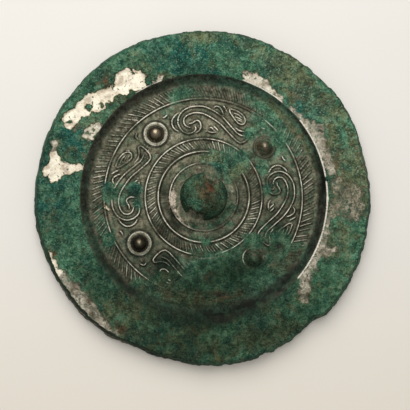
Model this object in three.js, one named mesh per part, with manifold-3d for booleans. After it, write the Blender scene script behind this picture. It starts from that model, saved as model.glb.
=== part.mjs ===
// A cast bronze mirror of the four-nipple, four-serpent kind, lying on its convex reflecting face with the
// decorated back up. Millimetres, +Z up, origin at the centre of the small flat that it rests on.
// It is one casting, so it is one solid: plate, rim, pierced knob, nipples and relief together.

import * as THREE from "three";
import { mergeVertices } from "three/addons/utils/BufferGeometryUtils.js";
import Module from "manifold-3d";

const wasm = await Module();
wasm.setup();

// ---- Driving dimensions ----

const FACE_R = 51.9; // mean radius of the reflecting face, the widest part
const FACE_FLAT_R = 14; // the middle of the face that the mirror rests on
const FACE_RISE = 1.0; // how far the convex face has risen at its edge
const RIM_DRAFT = 1.15; // the back is this much smaller in radius than the face
const RIM_TOP = 5.0; // height of the rim's inner edge
const RIM_LIFT = 0.25; // the rim's outer edge stands this much higher
const RIM_IN_R = 38.0; // the rim's inner edge
const FIELD_R = 35.5; // foot of the sloping wall, where the sunk field starts
const FIELD_Z = 2.3;
const SEAT_R = 10.6; // round seat of the knob
const SEAT_Z = 2.75;

const KNOB_R = 7.5;
const KNOB_H = 7.15; // above the seat
const CHANNEL_W = 5.4; // cord channel through the knob
const CHANNEL_TOP = 7.4;
const CHANNEL_ROUND = 0.7; // radius of the arch's shoulders
const CHANNEL_AT = 66; // direction in which it runs

const BOLD_RING_R = 14.1;
const HATCH_RING_R = 18.1; // outer line of the inner hatched band
const FIELD_RING_R = 30.7; // outer line of the figured zone
const LINE_W = 0.62; // width and height of the thin cast lines
const LINE_H = 0.36;
const BOLD_W = 1.1;
const BOLD_H = 0.75;

const NIPPLE_AT = [39.4, 127.6, 216.2, 309.2]; // degrees anticlockwise from +X
const NIPPLE_CIRCLE_R = 24.5;
const NIPPLE_BASE_R = 3.7;
const NIPPLE_R = 2.5;
const NIPPLE_H = 2.9;

const SERPENT_AT = [83.1, 171.3, 353.0]; // the three that still show
const BURIED_SERPENT_AT = 261.5; // the fourth shows only its tail

const OUTLINE_STEPS = 96;
const RING_STEPS = 72;
const SINK = 0.3; // relief starts this far inside the metal, so that it joins it
const CLEAN = 0.004; // details smaller than this are cleaned away after the pieces are joined

const rad = THREE.MathUtils.degToRad;

// How far a direction is from another one, in degrees, from -180 to 180.
function turnFrom(angle, at) {
  return THREE.MathUtils.euclideanModulo(angle - at + 180, 360) - 180;
}

// A smooth bump of height 1 around a direction.
function bump(angle, at, halfWidth) {
  return Math.exp(-((turnFrom(angle, at) / halfWidth) ** 2));
}

// ---- Solids from three.js geometry ----

function solidOf(geometry) {
  const bare = geometry.index ? geometry.toNonIndexed() : geometry.clone();
  bare.deleteAttribute("normal");
  bare.deleteAttribute("uv");
  const merged = mergeVertices(bare, 1e-4);
  return new wasm.Manifold(
    new wasm.Mesh({
      numProp: 3,
      vertProperties: merged.attributes.position.array,
      triVerts: new Uint32Array(merged.index.array),
    }),
  );
}

function geometryOf(solid) {
  const mesh = solid.getMesh();
  const geometry = new THREE.BufferGeometry();
  geometry.setAttribute("position", new THREE.BufferAttribute(mesh.vertProperties, 3));
  geometry.setIndex(new THREE.BufferAttribute(mesh.triVerts, 1));
  geometry.computeVertexNormals();
  return geometry;
}

// A profile of [radius, height] points turned about Z.
function turned(profile, steps) {
  const points = profile.map(([r, z]) => new THREE.Vector2(r, z));
  return new THREE.LatheGeometry(points, steps).rotateX(Math.PI / 2);
}

// A ridge of triangular section on the field, along a path of [x, y] points.
function ridge(path, width, height, steps, closed = false) {
  const section = new THREE.Shape([
    new THREE.Vector2(SINK, -width / 2),
    new THREE.Vector2(SINK, width / 2),
    new THREE.Vector2(-height, 0),
  ]);
  const points = path.map(([x, y]) => new THREE.Vector3(x, y, FIELD_Z));
  const extrudePath = new THREE.CatmullRomCurve3(points, closed, "centripetal");
  return solidOf(new THREE.ExtrudeGeometry(section, { steps, extrudePath }));
}

// ---- The plate, with its worn outline ----

// Where the rim is chipped or worn back, and where crust stands proud: [direction, half-width, millimetres].
const EDGE_CHANGES = [
  [245, 7, -1.05],
  [258, 7, -1.0],
  [308, 5.5, -1.05],
  [13, 7, -0.6],
  [350, 9, -0.3],
  [96, 14, -0.2],
  [62, 4, -0.2],
  [34, 9, 0.4],
  [131, 9, 0.25],
  [189, 6, 0.3],
  [272, 4, 0.2],
  [284, 7, 0.4],
  [321, 5, 0.5],
  [47, 68, 0.75],
  [122, 24, 0.2],
  [325, 32, 0.4],
];

function edgeChange(angle) {
  return EDGE_CHANGES.reduce((sum, [at, halfWidth, change]) => sum + change * bump(angle, at, halfWidth), 0);
}

// Corrosion fills the foot of the wall here, so the step from rim to field is a gentle slope.
const FILL_AT = 268;
const FILL_HALF_WIDTH = 34;
const FILL_IN = 2.4; // how far the foot moves in
const FILL_OUT = 1.3; // how far the wall's top moves out

function plate() {
  const foot = 0.05;
  const faceRise = (r) => FACE_RISE * ((r - FACE_FLAT_R) / (FACE_R - FACE_FLAT_R)) ** 2;
  const profile = [
    [0, 0],
    [FACE_FLAT_R, 0],
    ...[26, 39, FACE_R - 0.4].map((r) => [r, faceRise(r)]),
    [FACE_R, FACE_RISE + 0.5],
    [FACE_R - RIM_DRAFT, RIM_TOP + RIM_LIFT - 0.4],
    [FACE_R - RIM_DRAFT - 0.5, RIM_TOP + RIM_LIFT],
    [RIM_IN_R + 0.3, RIM_TOP],
    [RIM_IN_R - 0.2, RIM_TOP - 0.3],
    [FIELD_R, FIELD_Z + foot],
    [FIELD_R - 0.8, FIELD_Z],
    [SEAT_R + 0.3, FIELD_Z],
    [SEAT_R - 0.2, SEAT_Z],
    [0, SEAT_Z],
  ];
  const geometry = turned(profile, OUTLINE_STEPS);
  const position = geometry.attributes.position;
  const wallMiddle = (RIM_IN_R + FIELD_R) / 2;
  for (let i = 0; i < position.count; i++) {
    const [x, y, z] = [position.getX(i), position.getY(i), position.getZ(i)];
    const r = Math.hypot(x, y);
    if (r < FIELD_R - 1) continue;
    const angle = THREE.MathUtils.radToDeg(Math.atan2(y, x));
    const share = THREE.MathUtils.smoothstep(r, RIM_IN_R + 1, FACE_R - RIM_DRAFT - 1);
    let shift = share * edgeChange(angle);
    if (z > FIELD_Z - 0.1 && r < RIM_IN_R + 1) {
      shift += bump(angle, FILL_AT, FILL_HALF_WIDTH) * (r < wallMiddle ? -FILL_IN : FILL_OUT);
    }
    position.setXY(i, (x * (r + shift)) / r, (y * (r + shift)) / r);
  }
  return solidOf(geometry);
}

// ---- Knob and nipples ----

function knob() {
  const dome = [];
  const steps = 6;
  for (let i = 0; i <= steps; i++) {
    const t = (i / steps) * (Math.PI / 2);
    dome.push([KNOB_R * Math.cos(t), SEAT_Z + KNOB_H * Math.sin(t)]);
  }
  dome[steps][0] = 0;
  const profile = [[0, SEAT_Z - SINK], [KNOB_R, SEAT_Z - SINK], ...dome];
  return solidOf(turned(profile, 32));
}

// The arched cord channel, its floor level with the seat.
function channel() {
  const length = 2 * KNOB_R + 4;
  const half = CHANNEL_W / 2;
  const shoulder = CHANNEL_TOP - CHANNEL_ROUND;
  const arch = new THREE.Shape();
  arch.moveTo(-half, SEAT_Z + 0.01);
  arch.lineTo(half, SEAT_Z + 0.01);
  arch.lineTo(half, shoulder);
  arch.absarc(half - CHANNEL_ROUND, shoulder, CHANNEL_ROUND, 0, Math.PI / 2);
  arch.absarc(CHANNEL_ROUND - half, shoulder, CHANNEL_ROUND, Math.PI / 2, Math.PI);
  const geometry = new THREE.ExtrudeGeometry(arch, { depth: length, bevelEnabled: false, curveSegments: 4 });
  return solidOf(geometry.translate(0, 0, -length / 2).rotateX(Math.PI / 2).rotateZ(rad(CHANNEL_AT - 90)));
}

// A nipple on a round base whose edge is a low rounded bank.
function nipple(at) {
  const dome = [0.3, 0.75, 1.2].map((t) => [NIPPLE_R * Math.cos(t), FIELD_Z + NIPPLE_H * Math.sin(t)]);
  const profile = [
    [0, FIELD_Z - SINK],
    [NIPPLE_BASE_R, FIELD_Z - SINK],
    [NIPPLE_BASE_R, FIELD_Z + 0.2],
    [NIPPLE_BASE_R - 0.4, FIELD_Z + 0.55],
    [NIPPLE_R + 0.15, FIELD_Z + 0.25],
    ...dome,
    [0, FIELD_Z + NIPPLE_H],
  ];
  const geometry = turned(profile, 16);
  geometry.translate(NIPPLE_CIRCLE_R * Math.cos(rad(at)), NIPPLE_CIRCLE_R * Math.sin(rad(at)), 0);
  return solidOf(geometry);
}

// ---- Rings and hatching ----

function ring(radius, width, height) {
  const profile = [
    [radius - width / 2, FIELD_Z - SINK],
    [radius + width / 2, FIELD_Z - SINK],
    [radius, FIELD_Z + height],
    [radius - width / 2, FIELD_Z - SINK],
  ];
  return solidOf(turned(profile, RING_STEPS));
}

// Where the corrosion is thick enough to hide the fine relief: [direction, half-width in degrees, from, to radius].
const BURIED = [
  [268, 27, 14.6, 40],
  [58, 7, 10, 40],
  [300, 9, 29, 40],
];

function isBuried(angle, radius) {
  return BURIED.some(([at, half, from, to]) => Math.abs(turnFrom(angle, at)) < half && radius > from && radius < to);
}

// A band of short slanting ridges between two radii. The slant is the anticlockwise lean on the way out.
function hatching(from, to, count, slant) {
  const teeth = [];
  const middle = (from + to) / 2;
  const lean = rad(slant);
  const half = (to - from) / 2 / Math.cos(lean);
  for (let i = 0; i < count; i++) {
    const angle = (i * 360) / count;
    if (isBuried(angle, middle)) continue;
    const outward = rad(angle) + lean;
    const centre = [middle * Math.cos(rad(angle)), middle * Math.sin(rad(angle))];
    const end = (side) => [
      centre[0] + side * half * Math.cos(outward),
      centre[1] + side * half * Math.sin(outward),
    ];
    teeth.push(ridge([end(-1), end(1)], LINE_W, LINE_H * 0.8, 1));
  }
  return teeth;
}

// Four groups of three short lines between the seat and the bold ring.
function seatTicks() {
  const ticks = [];
  for (let group = 0; group < 4; group++) {
    for (const step of [-1, 0, 1]) {
      const angle = rad(4 + group * 90 + step * 5);
      const at = (r) => [r * Math.cos(angle), r * Math.sin(angle)];
      ticks.push(ridge([at(SEAT_R + 0.2), at(BOLD_RING_R - 0.5)], LINE_W, LINE_H * 0.8, 1));
    }
  }
  return ticks;
}

// ---- The serpents ----
// Drawn with +X clockwise round the mirror and +Y outwards from its centre.

const CURL = [-6.6, 23.3]; // centre of the head's curl

function arc([cx, cy], radius, fromDegrees, toDegrees, steps) {
  return Array.from({ length: steps + 1 }, (_, i) => {
    const t = rad(fromDegrees + ((toDegrees - fromDegrees) * i) / steps);
    return [cx + radius * Math.cos(t), cy + radius * Math.sin(t)];
  });
}

// Each line as [points, steps].
const TAIL_LINES = [
  // the tail's hooked lobe, and the short line inside it
  [[[3.4, 22.0], [6.4, 19.6], [9.6, 17.8], [11.6, 18.7], [12.9, 20.8], [12.6, 22.0], [10.2, 21.4], [6.9, 22.9]], 13],
  [[[7.4, 22.0], [9.0, 20.8], [10.8, 20.1]], 3],
];
const BODY_LINES = [
  // inner side of the body, out of the curl and over the back to the tail
  [[...arc(CURL, 2.4, -55, -250, 6), [-3.6, 25.7], [0, 24.4], [3.4, 22.0]], 14],
  // outer side of the body, round the curl's tip and over the back
  [[[-5.0, 21.4], [-5.4, 19.8], ...arc(CURL, 4.45, -100, -250, 5), [-3.6, 28.0], [0.2, 26.9], [3.6, 24.6], [7.3, 20.9]], 18],
  // the tongue that wraps the curl's tip
  [[[-7.7, 22.2], [-6.3, 22.7], ...arc([-4.9, 21.75], 1.45, 115, -60, 4), [-5.2, 19.6]], 7],
  // the crest, a crescent behind the head
  [arc([-9.4, 22.3], 3.3, 118, 256, 5), 5],
];
const BIRD_LINES = [
  // the wing, a leaf with two quills
  [[[4.4, 28.0], [6.0, 25.8], [8.6, 23.7], [10.3, 24.3], [10.1, 26.0], [7.6, 27.5], [3.9, 28.3]], 10],
  [[[6.2, 27.0], [7.6, 25.5], [9.3, 24.9]], 3],
  // neck and beak
  [[[-0.8, 28.2], [0.7, 28.6], [2.2, 27.8], [3.1, 26.1]], 5],
  // the small bird under the body
  [[[-1.8, 20.9], [-0.4, 20.2], [1.6, 20.5]], 3],
  [[[-1.2, 21.0], [-0.3, 21.9], [0.9, 20.8]], 3],
];
const COMMA_LINES = [
  [[[14.4, 22.9], [15.1, 23.6], [16.4, 23.4]], 2],
  [[[-15.6, 22.8], [-14.9, 23.2], [-14.3, 24.0]], 2],
];

function drawn(lines, centreAngle) {
  const turn = rad(centreAngle - 90);
  const place = ([x, y]) => [x * Math.cos(turn) - y * Math.sin(turn), x * Math.sin(turn) + y * Math.cos(turn)];
  return lines.map(([points, steps]) => ridge(points.map(place), LINE_W, LINE_H, steps));
}

// Corrosion stands in a low mound over the fourth serpent.
function crustMound() {
  const geometry = new THREE.SphereGeometry(1, 20, 8).rotateX(Math.PI / 2);
  geometry.scale(17, 8.5, 0.75);
  geometry.translate(-1.5, -27.5, FIELD_Z - 0.05);
  return solidOf(geometry);
}

// ---- The casting ----

// The largest piece of a solid, without the crumbs and slivers left where two ridges graze each other.
function withoutCrumbs(solid) {
  const pieces = solid.simplify(CLEAN).decompose();
  return pieces.reduce((largest, piece) => (piece.volume() > largest.volume() ? piece : largest));
}

function mirrorSolid() {
  const relief = [
    ring(BOLD_RING_R, BOLD_W, BOLD_H),
    ring(HATCH_RING_R, LINE_W, LINE_H),
    ring(FIELD_RING_R, LINE_W, LINE_H),
    ...hatching(15.2, 17.6, 66, 28),
    ...hatching(31.3, 34.7, 132, 30),
    ...seatTicks(),
    ...SERPENT_AT.flatMap((at) => drawn([...TAIL_LINES, ...BODY_LINES, ...BIRD_LINES, ...COMMA_LINES], at)),
    ...drawn([...TAIL_LINES, ...COMMA_LINES.slice(0, 1)], BURIED_SERPENT_AT),
    ...NIPPLE_AT.map(nipple),
    crustMound(),
    knob(),
  ];
  return withoutCrumbs(relief.reduce((whole, piece) => whole.add(piece), plate()).subtract(channel()));
}

const PATINATED_BRONZE = new THREE.MeshStandardMaterial({ color: 0x2f5546, roughness: 0.62, metalness: 0.35 });

const mirror = new THREE.Mesh(geometryOf(mirrorSolid()), PATINATED_BRONZE);
mirror.name = "mirror";

const bronzeMirror = new THREE.Group();
bronzeMirror.add(mirror);

export default bronzeMirror;
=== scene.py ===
# A bronze mirror of the four-nipple, four-serpent kind, lying with its decorated back up.
# The casting is one fine mesh, made here in millimetres from the same dimensions as the solid. The cast
# relief, the corrosion crust and the worn edge are in its shape, and vertex attributes place the layers of
# its material. Directions are in degrees anticlockwise from +X.

import math
from collections import namedtuple
from types import SimpleNamespace

import bpy
import numpy as np
from mathutils import Matrix, Vector
from mathutils.kdtree import KDTree


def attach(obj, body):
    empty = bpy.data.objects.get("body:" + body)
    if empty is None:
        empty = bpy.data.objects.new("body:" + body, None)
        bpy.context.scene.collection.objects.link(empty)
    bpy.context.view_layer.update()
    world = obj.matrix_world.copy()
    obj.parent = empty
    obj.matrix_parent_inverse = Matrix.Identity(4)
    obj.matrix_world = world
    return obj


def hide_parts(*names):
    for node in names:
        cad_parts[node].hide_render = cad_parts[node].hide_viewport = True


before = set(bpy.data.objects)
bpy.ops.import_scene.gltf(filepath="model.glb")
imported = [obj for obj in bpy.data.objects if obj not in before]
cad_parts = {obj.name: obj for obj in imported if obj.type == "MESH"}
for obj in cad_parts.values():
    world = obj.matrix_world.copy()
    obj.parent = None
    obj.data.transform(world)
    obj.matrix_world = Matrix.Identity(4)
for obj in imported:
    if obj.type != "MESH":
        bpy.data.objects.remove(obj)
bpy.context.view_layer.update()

# ---- Dimensions, in millimetres ----

FACE_R, FACE_FLAT_R, FACE_RISE = 51.9, 14.0, 1.0
RIM_DRAFT, RIM_TOP, RIM_LIFT, RIM_IN_R = 1.15, 5.0, 0.25, 38.0
BACK_R = FACE_R - RIM_DRAFT
FIELD_R, FIELD_Z = 35.5, 2.3
SEAT_R, SEAT_Z = 10.6, 2.75
KNOB_R, KNOB_H = 7.5, 7.15
CHANNEL_W, CHANNEL_TOP, CHANNEL_ROUND, CHANNEL_AT = 5.4, 7.4, 0.7, 66
BOLD_RING_R, HATCH_RING_R, FIELD_RING_R = 14.1, 18.1, 30.7
NIPPLE_CIRCLE_R, NIPPLE_BASE_R, NIPPLE_R, NIPPLE_H = 24.5, 3.7, 2.5, 2.9
SERPENT_AT = (83.1, 171.3, 353.0, 261.5)
LINE_STEP = 0.05

# Where the outline is worn back or stands proud: (direction, half-width in degrees, millimetres).
EDGE_CHANGES = (
    (245, 7, -1.05), (258, 7, -1.0), (308, 5.5, -1.05), (13, 7, -0.6), (350, 9, -0.3), (96, 14, -0.2),
    (62, 4, -0.2), (34, 9, 0.4), (131, 9, 0.25), (189, 6, 0.3), (272, 4, 0.2), (284, 7, 0.4), (321, 5, 0.5),
    (47, 68, 0.75), (122, 24, 0.2), (325, 32, 0.4), (312, 2.8, -0.6),
)
# Crust fills the foot of the wall here and carries it outwards at the top.
FILL_AT, FILL_HALF_WIDTH, FILL_IN, FILL_OUT = 268, 34, 2.4, 1.3

# ---- Small helpers ----


def turn_from(angle, at):
    return (angle - at + 180) % 360 - 180


def bump(angle, at, half):
    """A smooth bump of height 1 round a direction."""
    return np.exp(-((turn_from(angle, at) / half) ** 2))


def peak(x, at, width, power=2):
    return np.exp(-(((x - at) / width) ** power))


def smooth(x, low, high):
    t = np.clip((x - low) / (high - low), 0, 1)
    return t * t * (3 - 2 * t)


def window(angle, at, half, soft):
    return smooth(half - np.abs(turn_from(angle, at)), -soft, soft)


def lattice(i, seed):
    h = (i[0] * 374761393 + i[1] * 668265263 + i[2] * 1440662683 + seed * 974634777) & 0xFFFFFFFF
    h = ((h ^ (h >> 13)) * 1274126177) & 0xFFFFFFFF
    return (h ^ (h >> 16)) / 4294967295.0


def noise(p, size, seed):
    """Smooth value noise from -1 to 1, on points in rows, with features of about `size`."""
    q = p.T / size
    i = np.floor(q).astype(np.int64)
    f = q - i
    f = f * f * (3 - 2 * f)
    total = 0
    for corner in range(8):
        step = np.array([[corner & 1], [corner >> 1 & 1], [corner >> 2]])
        weight = np.prod(np.where(step == 1, f, 1 - f), axis=0)
        total = total + weight * lattice(i + step, seed)
    return 2 * total - 1


def fbm(p, size, seed, octaves=3):
    """Noise from -1 to 1 with finer and finer octaves."""
    total = sum(noise(p, size / 2**k, seed + k) * 0.5**k for k in range(octaves))
    return total / (2 - 0.5 ** (octaves - 1))


def polar(x, y):
    return np.hypot(x, y), np.degrees(np.arctan2(y, x)) % 360


def spot(angle, radius):
    a = math.radians(angle)
    return np.array([radius * math.cos(a), radius * math.sin(a)])


# ---- The lines of the relief ----
# A serpent is drawn with +X clockwise round the mirror and +Y outwards from its centre.

SERPENT_LINES = (
    # inner side: the curl, over the back, round the tail's hooked lobe
    ((-6.5, 20.9), (-7.6, 21), (-8.5, 21.5), (-9, 22.4), (-9, 23.4), (-8.4, 24.3), (-7.3, 25.1), (-6, 25.6),
     (-4, 25.8), (-2, 25.35), (0, 24.5), (2.4, 23.2), (4, 21.9), (5.5, 20.6), (7, 19.4), (8.2, 18.5),
     (9.3, 18.1), (10.3, 18.5), (11.4, 19.6), (12.2, 20.8), (12.5, 21.7), (11.9, 22.3), (11, 22),
     (9.6, 21.75), (8.3, 22), (7.1, 22.7)),
    # outer side: round the curl, over the back, and the short line inside the tail
    ((-5.5, 21.5), (-5, 20.9), (-5.2, 20.1), (-5.9, 19.4), (-7.2, 18.95), (-8.6, 19.2), (-9.8, 20.2),
     (-10.6, 21.5), (-10.85, 22.9), (-10.6, 24.1), (-10, 25.3), (-8.9, 26.4), (-7.3, 27.35), (-5, 27.9),
     (-3, 27.9), (-1, 27.35), (0.8, 26.6), (2.8, 25.4), (4.4, 24.1), (5.6, 23), (6.9, 21.9), (7.8, 21.1),
     (8.8, 20.6), (10.2, 20.35)),
    # the tongue
    ((-7.4, 22.05), (-6.3, 22.4), (-5.4, 23.15), (-4.6, 23.35), (-3.9, 22.8), (-3.5, 21.5), (-3.9, 20.3),
     (-4.9, 19.4)),
    # the crest behind the head
    ((-11, 24.9), (-12, 23.8), (-12.65, 22.3), (-12.4, 20.9), (-11.5, 19.8), (-10, 19.1)),
    # the wing, with its quills
    ((4.7, 28.3), (5, 27.2), (6.1, 25.9), (7.2, 24.7), (8.5, 23.9), (9.6, 24.1), (10, 25), (9.5, 26.3),
     (8.3, 27.3), (6.8, 27.95), (4.9, 28.35)),
    ((6.1, 27.1), (7.5, 26.8), (8.9, 25.9)),
    ((6.9, 26), (8, 25.7), (9.1, 25.1)),
    ((7.6, 25.2), (8.5, 24.9), (9.2, 24.6)),
    # neck and beak
    ((-0.4, 27.9), (0.6, 28.6), (1.6, 28.3), (2.4, 27.4), (3, 26.3)),
    ((2.5, 29.2), (3.3, 28.3), (4, 27.2)),
    # the small bird under the body
    ((-1.7, 21), (-1, 20.4), (0.1, 20.2), (1.5, 20.5)),
    ((-0.9, 21.4), (-0.3, 21.75), (0.4, 21.2), (1, 20.8)),
    ((0.4, 22.2), (1.2, 21.7), (2, 20.9)),
)
COMMAS = (
    ((14.4, 22.8), (15.1, 23.6), (16.4, 23.4)),
    ((-15.7, 22.8), (-15, 23.1), (-14.3, 24)),
)
CURVED, STRAIGHT = 0, 1


def between(s, t0, t1, a, b):
    """From a where s is t0 to b where s is t1."""
    return (t1 - s) / (t1 - t0) * a + (s - t0) / (t1 - t0) * b


def spline(points):
    """A centripetal curve through the points, sampled every LINE_STEP."""
    p = np.array(points, float)
    p = np.vstack([2 * p[0] - p[1], p, 2 * p[-1] - p[-2]])
    out = []
    for a, b, c, d in zip(p, p[1:], p[2:], p[3:]):
        steps = [max(np.hypot(*(v - u)), 1e-6) ** 0.5 for u, v in ((a, b), (b, c), (c, d))]
        t0, t1, t2, t3 = np.cumsum([0] + steps)
        samples = max(2, int(np.hypot(*(c - b)) / LINE_STEP))
        s = np.linspace(t1, t2, samples, endpoint=False)[:, None]
        ab, bc, cd = between(s, t0, t1, a, b), between(s, t1, t2, b, c), between(s, t2, t3, c, d)
        out.append(between(s, t1, t2, between(s, t0, t2, ab, bc), between(s, t1, t3, bc, cd)))
    out.append(p[-2:-1])
    return np.vstack(out)


def segment(a, b):
    n = max(2, int(np.hypot(*(b - a)) / LINE_STEP))
    return a + np.linspace(0, 1, n)[:, None] * (b - a)


def placed(points, at):
    turn = math.radians(at - 90)
    x, y = points[:, 0], points[:, 1]
    return np.column_stack([x * math.cos(turn) - y * math.sin(turn), x * math.sin(turn) + y * math.cos(turn)])


def relief_line(points, height, kind, ends=0.5):
    """A line's points with the height and kind of each. The height fades over `ends` at both ends."""
    along = np.arange(len(points)) * LINE_STEP
    return points, height * smooth(np.minimum(along, along[::-1]), -0.35, ends), np.full(len(points), kind)


def hatch(rng, low, high, count, slant_at, height, every_other=1.0):
    """Slanting lines all round between two radii, cut by hand and so uneven."""
    lines = []
    angles = (np.arange(count) + rng.uniform(-0.13, 0.13, count)) * 360 / count
    for k, angle in enumerate(angles):
        slant = slant_at(angle) + rng.uniform(-3, 3)
        half = (high - low) / 2 / math.cos(math.radians(slant))
        middle, along = spot(angle, (low + high) / 2), spot(angle + slant, half)
        start, end = rng.uniform(0.9, 1.0), rng.uniform(0.85, 1.0)
        tall = height * rng.uniform(0.75, 1.05) * (every_other if k % 2 else 1)
        lines.append(relief_line(segment(middle - along * start, middle + along * end), tall, STRAIGHT, 0.4))
    return lines


def outer_slant(a):
    return 31 - 13 * bump(a, 162, 15) + 9 * bump(a, 130, 13) + 8 * bump(a, 222, 35)


def inner_slant(a):
    return 30


def relief_lines():
    """All lines of the relief: their points, heights and kinds."""
    rng = np.random.default_rng(11)
    lines = []
    for at in SERPENT_AT:
        lines += [relief_line(placed(spline(points), at), 0.36, CURVED) for points in SERPENT_LINES]
        lines += [relief_line(placed(spline(points), at), 0.34, CURVED, 0.4) for points in COMMAS]
    lines += hatch(rng, 31.0, 34.7, 119, outer_slant, 0.28)
    lines += hatch(rng, 14.9, 17.8, 118, inner_slant, 0.3, 0.62)
    # four groups of three short lines beside the seat
    for at in range(4, 364, 90):
        for turn in (-3.6, 0, 3.6):
            lines.append(relief_line(segment(spot(at + turn, 10.9), spot(at + turn, 13.5)), 0.12, STRAIGHT))
    return [np.concatenate(column) for column in zip(*lines)]


line_points, line_height, line_kind = relief_lines()
line_tree = KDTree(len(line_points))
for i, (x, y) in enumerate(line_points):
    line_tree.insert((x, y, 0), i)
line_tree.balance()

# ---- Where the corrosion lies ----
# Each list holds (direction, radius, half-width in degrees, half-depth, strength).

# Thick crust on the field, which buries the relief.
FIELD_CRUST = (
    (204.5, 32, 4.5, 2, 1), (323, 30.7, 10, 1.8, 0.9), (326, 33, 10, 2.4, 0.45), (38, 30.7, 5.5, 1.5, 0.95),
    (54, 24.2, 4.5, 2.3, 0.9), (48, 32.5, 9, 2, 0.6), (52, 34, 14, 2.6, 0.75), (38, 28.5, 7, 3.4, 0.5),
    (53, 28.5, 6, 3, 0.7), (29, 20.5, 7, 2.4, 0.6), (60, 12.2, 30, 2.8, 1.3), (44, 15.8, 16, 3.2, 0.8),
    (243, 28.4, 5, 3, 0.9), (236, 25, 3, 1.4, 0.3), (177, 29.2, 6, 2.2, 1), (174, 21.4, 6, 2.3, 1),
    (184, 20.6, 8, 1.4, 0.7), (101, 32.6, 9, 2, 0.5), (279, 25.5, 25, 8, 1.3), (263, 31.5, 27, 4.5, 1.25),
    (268, 36, 34, 5, 1.5), (304, 30, 20, 7, 1), (316, 21, 8, 4, 0.8), (273, 14.2, 7, 1.4, 0.9),
    (272, 18.6, 18, 2.4, 0.9), (331, 27, 6, 4, 0.5), (202.7, 32.4, 2.6, 1.8, 0.6), (236, 34, 7, 3, 0.6),
    (300, 19, 10, 2, 0.5), (8, 19.6, 7, 1.3, 0.35), (249, 26.3, 4.5, 1.8, 0.7),
)
# Thin green staining, through which the relief still shows.
STAIN = (
    (62, 37, 36, 2.2, 1), (320, 36.5, 26, 1.6, 0.9), (96, 36.6, 20, 1.6, 0.6), (165, 36.6, 20, 1.4, 0.4),
    (45, 9.2, 34, 1.5, 1), (318, 9.2, 36, 1.5, 1.1), (200, 33, 14, 3, 0.8), (215, 36.6, 30, 1.6, 1),
    (34, 36.4, 30, 1.8, 0.9), (243, 28, 9, 4, 0.9), (50, 15, 24, 4, 1), (42, 31, 20, 7, 1),
    (36, 23, 14, 5, 0.8), (25, 20, 10, 3, 0.7), (60, 33.5, 12, 3, 0.7), (15, 28, 8, 6, 0.4),
    (100, 32.5, 12, 3.2, 0.75), (113, 28, 6, 3, 0.45), (178, 25, 11, 6.5, 0.8), (300, 9.2, 90, 1.6, 0.7),
    (202.5, 32.5, 4, 3, 0.9), (275, 27, 46, 11, 1), (300, 20, 30, 5, 0.6), (335, 24, 10, 8, 0.7),
    (60, 11.5, 34, 3.6, 1), (350, 11, 30, 2, 0.5), (38, 16.5, 16, 3, 0.7), (215, 36, 24, 3, 0.5),
    (320, 36, 40, 3, 0.5), (272, 12, 30, 3, 0.6), (145, 20, 8, 2, 0.3), (222, 25, 16, 5, 0.45),
    (135, 9.2, 18, 1.3, 0.75), (350, 9.3, 26, 1.3, 0.6), (310, 12.2, 26, 1.5, 0.5), (8, 24, 16, 6, 0.5),
    (128, 33, 8, 2, 0.25), (0, 33.5, 14, 3, 0.35), (232, 20, 10, 4, 0.3),
)
# Darker crust and darker metal.
DARK = (
    (39.4, 24.5, 7, 3, 0.5), (104, 45, 14, 7, 0.35), (325, 26, 16, 9, 0.8), (342, 25, 14, 9, 0.8),
    (226, 25, 20, 8, 0.7), (239, 25, 15, 8, 1.1), (228, 16.5, 24, 2, 0.8), (270, 16.5, 22, 2, 0.85),
    (312, 16.5, 30, 2, 0.5), (352, 16.5, 30, 2, 0.45), (4, 24, 16, 8, 0.5), (0, 12.2, 40, 1.5, 0.55),
    (320, 12.2, 30, 1.5, 0.4), (0, 9.2, 30, 1.4, 0.4), (45, 9.2, 30, 1.4, 0.4), (218, 12.2, 36, 1.5, 1.1),
    (180, 12.2, 28, 1.5, 0.9), (316, 9.2, 34, 1.5, 0.7), (320, 46, 26, 7, 0.5), (292, 47, 20, 6, 0.95),
    (306, 48, 18, 5, 0.8), (290, 36, 8, 1, 1.15), (278, 37.4, 8, 0.9, 1.15), (316, 36, 8, 1.3, 1.1),
    (182, 44, 22, 8, 0.3), (8, 36.9, 14, 1.1, 1.1), (338, 36.8, 18, 1.1, 0.8), (22, 16.4, 14, 1.7, 0.55),
    (225, 36.4, 36, 2.4, 0.95), (295, 36.2, 40, 2.4, 0.9), (292, 25, 36, 8, 1.08), (235, 16.4, 36, 2, 0.5),
    (222, 33, 14, 3, 0.5), (177, 29.2, 6, 2.2, 0.85), (176, 21.4, 9, 2.3, 0.85), (100, 32.5, 10, 2, 0.35),
    (42, 31, 10, 6, 0.3), (20, 9, 200, 1.6, 0.28), (205, 12.2, 46, 1.5, 0.6), (285, 9.2, 60, 2, 0.5),
    (258, 34, 62, 3.5, 0.75), (280, 17, 40, 3, 0.55), (215, 24, 30, 8, 0.3), (3, 43.5, 5, 4, 0.3),
    (267, 46, 46, 9, 0.88), (267, 39, 54, 6, 1), (268, 29, 50, 10, 0.93), (118, 46, 10, 5, 0.3),
    (135, 49.5, 12, 2, 0.45), (224, 41.5, 22, 6, 0.85), (303, 41, 22, 5, 0.7), (318, 28, 20, 9, 0.7),
    (118, 39.5, 22, 2.6, 0.5), (92, 40, 18, 2.6, 0.4), (165, 44, 14, 8, 0.45), (190, 44, 18, 9, 0.5),
    (140, 47.5, 18, 3, 0.4), (320, 48, 18, 5, 0.45), (262, 17.5, 36, 4, 0.6), (38, 20.5, 12, 3, 0.35),
    (345, 38, 50, 1.8, 0.4), (108, 47, 9, 5, 0.4), (212, 33, 14, 4, 0.45), (300, 11, 60, 3, 0.4),
)
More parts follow.
